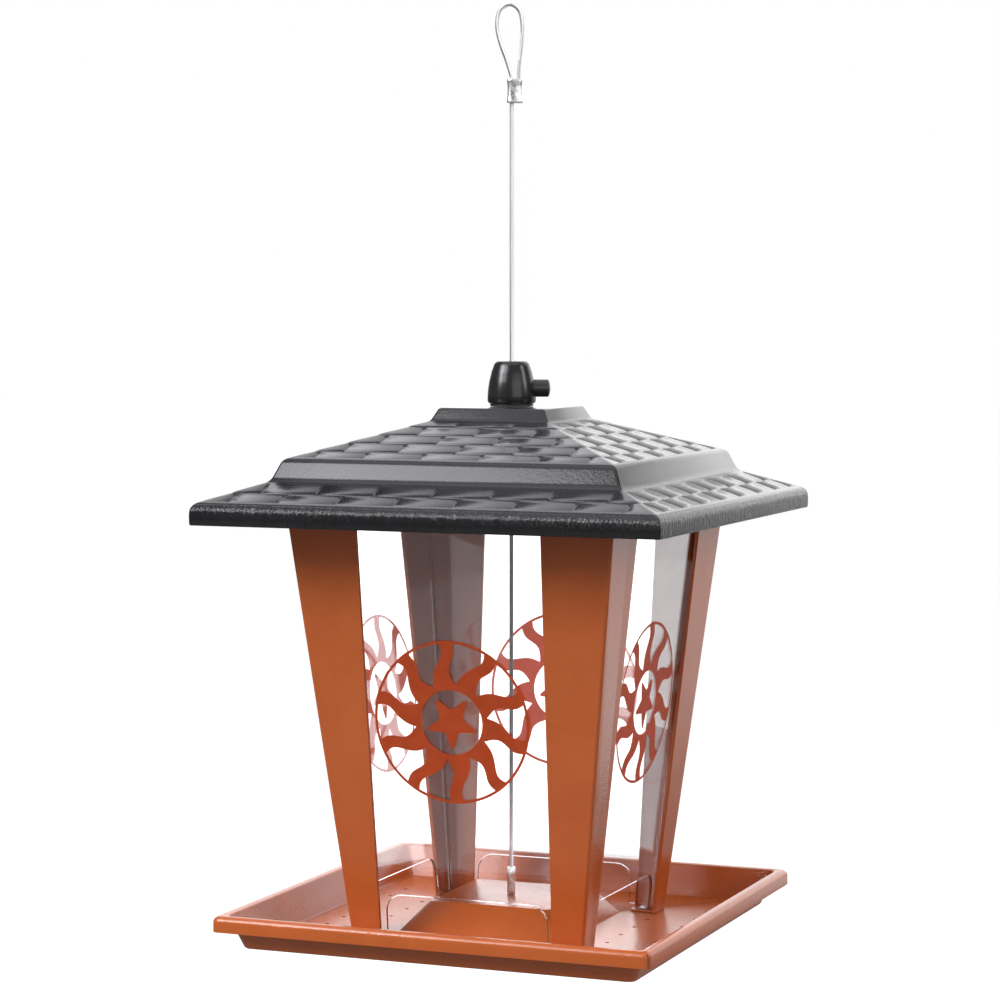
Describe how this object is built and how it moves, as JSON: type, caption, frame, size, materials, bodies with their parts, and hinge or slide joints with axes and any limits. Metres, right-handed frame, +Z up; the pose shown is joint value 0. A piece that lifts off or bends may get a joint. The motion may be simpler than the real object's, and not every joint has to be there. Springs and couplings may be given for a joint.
{
  "type": "hanging bird feeder",
  "caption": "Square hanging lantern seed feeder: stepped roof that slides up a steel cable under a push-button cable lock, clear tapered hopper with corner posts, ports and a tray.",
  "frame": {"origin": "centre of the tray's underside, on the cable's axis, at the height of the surface that the tray stands on", "axes": "+Z up along the cable; +X to the right and -Y out of the front panel; the hopper's sides face X and Y"},
  "size_m": [0.24, 0.24, 0.4649],
  "materials": {
    "copper_paint": "satin copper-orange powder coat",
    "roof_enamel": "semi-gloss black enamel over embossed sheet",
    "clear_plastic": "clear moulded plastic with a faint lilac tint",
    "black_plastic": "glossy black moulding",
    "dark_nylon": "matt black washer",
    "galvanised_wire": "stranded galvanised wire rope",
    "crimp_aluminium": "pressed bright aluminium",
    "spring_steel": "bright drawn wire"
  },
  "bodies": {
    "feeder": {"tray": "copper_paint", "post_front_right": "copper_paint", "post_back_right": "copper_paint", "post_back_left": "copper_paint", "post_front_left": "copper_paint", "panel_front": "clear_plastic", "panel_right": "clear_plastic", "panel_back": "clear_plastic", "panel_left": "clear_plastic", "top_rail": "copper_paint", "rivet_top_front_a": "crimp_aluminium", "rivet_top_front_b": "crimp_aluminium", "rivet_top_right_a": "crimp_aluminium", "rivet_top_right_b": "crimp_aluminium", "rivet_top_back_a": "crimp_aluminium", "rivet_top_back_b": "crimp_aluminium", "rivet_top_left_a": "crimp_aluminium", "rivet_top_left_b": "crimp_aluminium", "rivet_foot_front_right": "crimp_aluminium", "rivet_foot_back_right": "crimp_aluminium", "rivet_foot_back_left": "crimp_aluminium", "rivet_foot_front_left": "crimp_aluminium", "hanger_cable": "galvanised_wire", "loop_ferrule": "crimp_aluminium", "anchor_sleeve": "crimp_aluminium", "anchor_washer": "crimp_aluminium", "anchor_stop": "crimp_aluminium"},
    "roof_shell": {"roof": "roof_enamel"},
    "cap_carrier": {"cap_seat": "dark_nylon"},
    "cap_housing": {"lock_cap": "black_plastic", "lock_spring": "spring_steel"},
    "push_button": {"lock_button": "black_plastic"}
  },
  "joints": [
    {"name": "roof_lift", "type": "slide", "parent": "feeder", "child": "roof_shell", "axis": [0, 0, 1], "range_m": [0, 0.08]},
    {"name": "cap_lift", "type": "slide", "parent": "roof_shell", "child": "cap_carrier", "axis": [0, 0, 1], "range_m": [0, 0.045]},
    {"name": "cap_turn", "type": "hinge", "parent": "cap_carrier", "child": "cap_housing", "pos_m": [0, 0, 0.2653], "axis": [0, 0, 1], "continuous": true},
    {"name": "button_press", "type": "slide", "parent": "cap_housing", "child": "push_button", "axis": [-0.9336, -0.3584, 0], "range_m": [0, 0.003], "stiffness_N_per_m": 250, "springref_m": -0.002}
  ]
}
